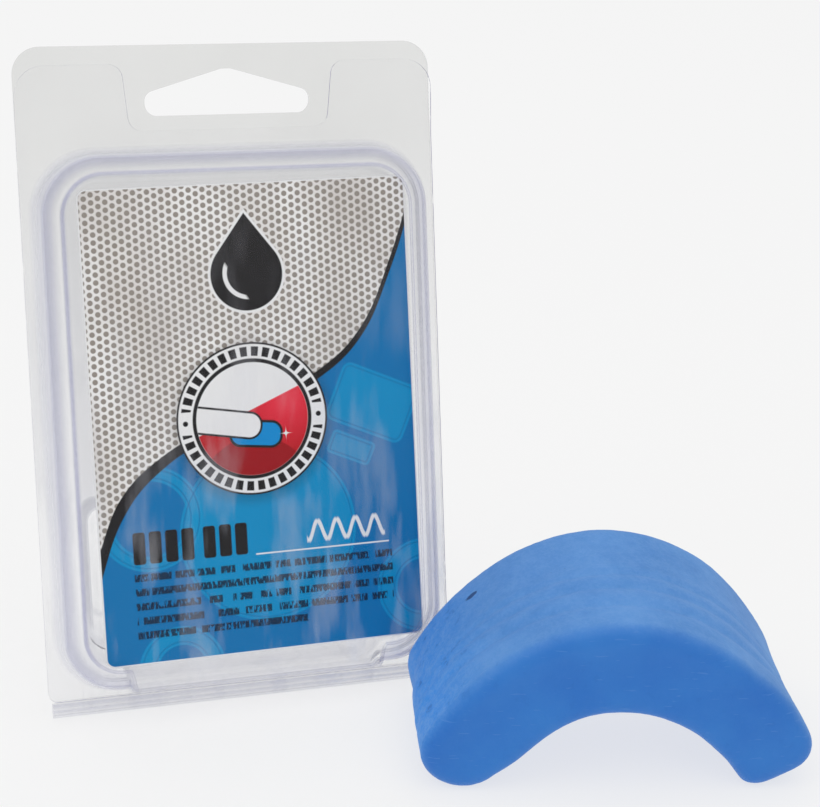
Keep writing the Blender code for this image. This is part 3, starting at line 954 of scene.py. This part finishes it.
def bar_foot(side):
    """The rounded end of one foot, from its outer side to its inner. side is 1 or -1."""
    middle, outer, inner = bar_section(side * BAR_SWEEP)
    away = Vector((side * math.sin(BAR_SWEEP), math.cos(BAR_SWEEP)))
    onward = Vector((side * math.cos(BAR_SWEEP), -math.sin(BAR_SWEEP)))
    heel_radius = LEFT_HEEL_RADIUS if side < 0 else RIGHT_HEEL_RADIUS
    clear = middle.y - inner * away.y + heel_radius * onward.y
    toe_radius = clear / (1 - away.y + onward.y)
    heel = middle + away * (outer - heel_radius)
    toe = middle - away * (inner - toe_radius) + onward * (heel_radius - toe_radius)
    start = math.atan2(away.y, away.x)
    quarter = -side * math.pi / 2
    points = arc(heel, heel_radius, start, start + quarter, TOE_STEPS)
    return points + arc(toe, toe_radius, start + quarter, start + 2 * quarter, TOE_STEPS)[:-2]


def bar_outline():
    outer = bar_side(lambda out, inner: out, BAR_STEPS)
    inner = bar_side(lambda out, inner: -inner, BAR_STEPS)
    return outer[:-1] + bar_foot(1) + inner[-3:2:-1] + bar_foot(-1)[::-1][:-1]


def straight_bar():
    """The bar before it is worked, as a fine even mesh, with Y from 0 to BAR_DEPTH."""
    curve = bpy.data.curves.new("clay_outline", "CURVE")
    curve.dimensions = "2D"
    curve.fill_mode = "BOTH"
    curve.extrude = BAR_DEPTH / 2 - BAR_EDGE
    curve.bevel_depth = BAR_EDGE
    curve.bevel_resolution = 5
    curve.offset = -BAR_EDGE
    spline = curve.splines.new("POLY")
    outline = bar_outline()
    spline.points.add(len(outline) - 1)
    for point, (across, up) in zip(spline.points, outline):
        point.co = (across, up, 0.0, 1.0)
    spline.use_cyclic_u = True
    guide = bpy.data.objects.new("clay_guide", curve)
    bpy.context.scene.collection.objects.link(guide)
    bpy.context.view_layer.update()
    graph = bpy.context.evaluated_depsgraph_get()
    mesh = bpy.data.meshes.new_from_object(guide.evaluated_get(graph), depsgraph=graph)
    bpy.data.objects.remove(guide)
    stand = Matrix.Translation((0.0, BAR_DEPTH / 2, 0.0)) @ Matrix.Rotation(math.pi / 2, 4, "X")
    mesh.transform(stand)
    bar = add_object("clay", mesh)
    even = bar.modifiers.new("even", "REMESH")
    even.mode = "VOXEL"
    even.voxel_size = CLAY_VOXEL
    soften = bar.modifiers.new("soften", "SMOOTH")
    soften.factor = 0.5
    soften.iterations = 8
    return settle(bar, 180)


def bar_point(along, depth, up):
    """Where a point of a straight bar of depth 0 to 1 lies on the worked one."""
    reach = BAR_DEPTH + BAR_DEPTH_RISE * (along + FOOT_HALF_THICKNESS)
    spread = 1.0 + BACK_SPREAD * depth
    rise = 1.0 + BACK_RISE * depth
    to_end = min(1.0, max(0.0, (along - FLARE_START) / FLARE_RUN))
    to_front = max(0.0, 1.0 - depth / FLARE_DEPTH)
    flare = FLARE * eased(to_end) * eased(to_front)
    return Vector((along * spread + flare, depth * reach, up * rise))


def hump(value, centre, width):
    return math.exp(-(((value - centre) / width) ** 2))


def ramp(value, start, end):
    return eased(min(1.0, max(0.0, (value - start) / (end - start))))


# Soft grooves along the bar's top: depth from the front as a share, drift towards the left
# end, width as a share, and how deep in metres
GROOVES = [(0.25, 0.05, 0.030, 0.00042), (0.40, 0.03, 0.026, 0.00034), (0.52, -0.02, 0.022, 0.00022)]
# Short dark flecks: angle from the crown in degrees, depth as a share, and half sizes of both
MARKS = [(-37.0, 0.80, 2.6, 0.022), (-12.0, 0.62, 9.0, 0.006)]
FRONT_LIP = 0.00025
PINCH = 0.0012
BACK_LIP = 0.0005
TOP_SWELL = 0.00022
FRONT_DISH = 0.00045
FRONT_SWELL = 0.00018
GRAIN = 0.00004
NOISE_SHIFT = Vector((7.0, 0.0, 0.0))


def worked_lift(degrees, share):
    """How far handling has raised the bar's top, at an angle from its crown and a depth."""
    lift = 0.0
    for groove, drift, width, deep in GROOVES:
        centre = groove + drift * ramp(-degrees, 0.0, 60.0)
        fade = 1.0 - 0.55 * ramp(abs(degrees), 20.0, 62.0)
        lift -= deep * fade * hump(share, centre, width)
        lift += 0.5 * deep * fade * hump(share, centre + 2.2 * width, 1.6 * width)
    at_left_end = ramp(-degrees, 52.0, 66.0)
    lift += FRONT_LIP * hump(share, 0.045, 0.03) * ramp(-degrees, 10.0, 45.0)
    lift -= PINCH * at_left_end * hump(share, 0.80, 0.13)
    lift += BACK_LIP * at_left_end * hump(share, 0.985, 0.05)
    return lift


def fleck_share(degrees, share):
    flecks = [hump(degrees, at, half) * hump(share, deep, width) for at, deep, half, width in MARKS]
    return max(flecks)


def work_clay(bar):
    """Bends the grooves, dents and dusty patches of a handled bar into the even mesh; the dusty top is
    also where painted light from above makes it paler.
    """
    mesh = bar.data
    centre = Vector((BAR_MIDDLE, BAR_TOP - CROWN_HALF - BAR_RADIUS))
    powder_and_top_light = mesh.attributes.new("powder_and_top_light", "FLOAT", "POINT")
    rubbed = mesh.attributes.new("rubbed", "FLOAT", "POINT")
    mark = mesh.attributes.new("mark", "FLOAT", "POINT")
    normals = [vertex.normal.copy() for vertex in mesh.vertices]
    for vertex, normal in zip(mesh.vertices, normals):
        spot = vertex.co.copy()
        share = spot.y / BAR_DEPTH
        arm = Vector((spot.x, spot.z)) - centre
        angle = math.atan2(arm.x, arm.y)
        degrees = math.degrees(angle)
        past_middle = arm.length - BAR_RADIUS
        outer = bar_section(max(-BAR_SWEEP, min(BAR_SWEEP, angle)))[1]
        outside = ramp(past_middle, 0.45 * outer, 0.95 * outer)
        behind_edge = ramp(share, 0.0, 0.10)
        swell = TOP_SWELL * noise.noise(spot * 95.0) * behind_edge
        push = arm.normalized() * (worked_lift(degrees, share) + swell) * outside
        dish = FRONT_DISH * hump(past_middle, 0.0, 0.0055) * (1.0 - ramp(share, 0.0, 0.2))
        dish += FRONT_SWELL * noise.noise(spot * 120.0 + NOISE_SHIFT) * (1.0 - outside)
        moved = spot + Vector((push.x, dish, push.y)) + normal * GRAIN * noise.noise(spot * 700.0)
        vertex.co = bar_point(moved.x, moved.y / BAR_DEPTH, max(moved.z, 0.00001))
        top = outside * behind_edge
        # The top's share, for its powder and for the painted light from above.
        powder_and_top_light.data[vertex.index].value = top
        rubbed.data[vertex.index].value = top * ramp(-degrees, 30.0, 58.0)
        mark.data[vertex.index].value = fleck_share(degrees, share) * top


def make_clay():
    bar = straight_bar()
    work_clay(bar)
    bar.data.transform(BAR)
    bar.data.materials.append(make_clay_material())
    bar.data.shade_smooth()
    place(bar, "bar", "blue_clay", "clay_bar")


# Stage, light and camera


def make_floor():
    mesh = bpy.data.meshes.new("floor")
    shape = bmesh.new()
    bmesh.ops.create_grid(shape, x_segments=8, y_segments=8, size=FLOOR_HALF)
    shape.to_mesh(mesh)
    shape.free()
    material, tree, shader = new_tree("floor")
    shader.inputs["Base Color"].default_value = (FLOOR_GREY, FLOOR_GREY, FLOOR_GREY, 1.0)
    shader.inputs["Roughness"].default_value = 0.95
    shader.inputs["Specular IOR Level"].default_value = 0.0
    shader.inputs["Emission Color"].default_value = (1.0, 1.0, 1.0, 1.0)
    shader.inputs["Emission Strength"].default_value = FLOOR_GLOW
    floor = add_object("floor", mesh, material)


def add_light(name, spot, aim, size, energy):
    data = bpy.data.lights.new(name, "AREA")
    data.shape = "RECTANGLE"
    data.size = size[0]
    data.size_y = size[1]
    data.energy = energy
    light = bpy.data.objects.new(name, data)
    light.location = spot
    light.rotation_euler = (Vector(aim) - Vector(spot)).to_track_quat("-Z", "Y").to_euler()
    bpy.context.scene.collection.objects.link(light)


def make_lights():
    world = bpy.data.worlds.new("studio")
    world.use_nodes = True
    background = world.node_tree.nodes["Background"]
    background.inputs["Color"].default_value = (1.0, 1.0, 1.0, 1.0)
    background.inputs["Strength"].default_value = WORLD_STRENGTH
    bpy.context.scene.world = world
    add_light("overhead", (-0.3, 0.3, 2.4), (0.0, 0.0, 0.03), (6.0, 6.0), 60.0)
    add_light("left", (-0.75, -0.25, 0.45), (-0.02, 0.0, 0.06), (0.35, 0.8), 0.6)
    add_light("front", (0.35, -0.95, 0.55), (0.0, 0.0, 0.05), (0.7, 0.5), 0.8)


def make_camera():
    data = bpy.data.cameras.new("camera")
    data.lens = CAMERA_LENS
    data.sensor_width = 36.0
    data.clip_start = 0.01
    camera = bpy.data.objects.new("camera", data)
    origin = CASE.translation
    aim = Matrix.Rotation(-CAMERA_AZIMUTH, 4, "Z") @ Matrix.Rotation(math.pi / 2 - CAMERA_PITCH, 4, "X")
    aim = aim @ Matrix.Rotation(CAMERA_ROLL, 4, "Z")
    camera.matrix_world = Matrix.Translation(origin + CAMERA_PLACE) @ aim
    bpy.context.scene.collection.objects.link(camera)
    bpy.context.scene.camera = camera


def main():
    bpy.context.scene.view_settings.view_transform = "Standard"
    make_camera()
    make_lights()
    make_floor()
    back_edge = make_cut_edge("back_edge", (0.62, 0.64, 0.66), 0.45)
    front_edge = make_cut_edge("front_edge", (0.16, 0.15, 0.34), 0.85)
    clear_back = make_clear("clear_back", (0.30, 0.31, 0.27), 0.15, (0.66, 0.67, 0.74), 0.06)
    clear_front = make_clear("clear_front", (0.70, 0.70, 0.78), 0.012, (0.80, 0.80, 0.90), 0.008)
    make_back(clear_back, back_edge)
    make_front(clear_front, front_edge)
    make_bead(clear_back, back_edge)
    make_card(make_print(), make_paper())
    make_clay()


main()
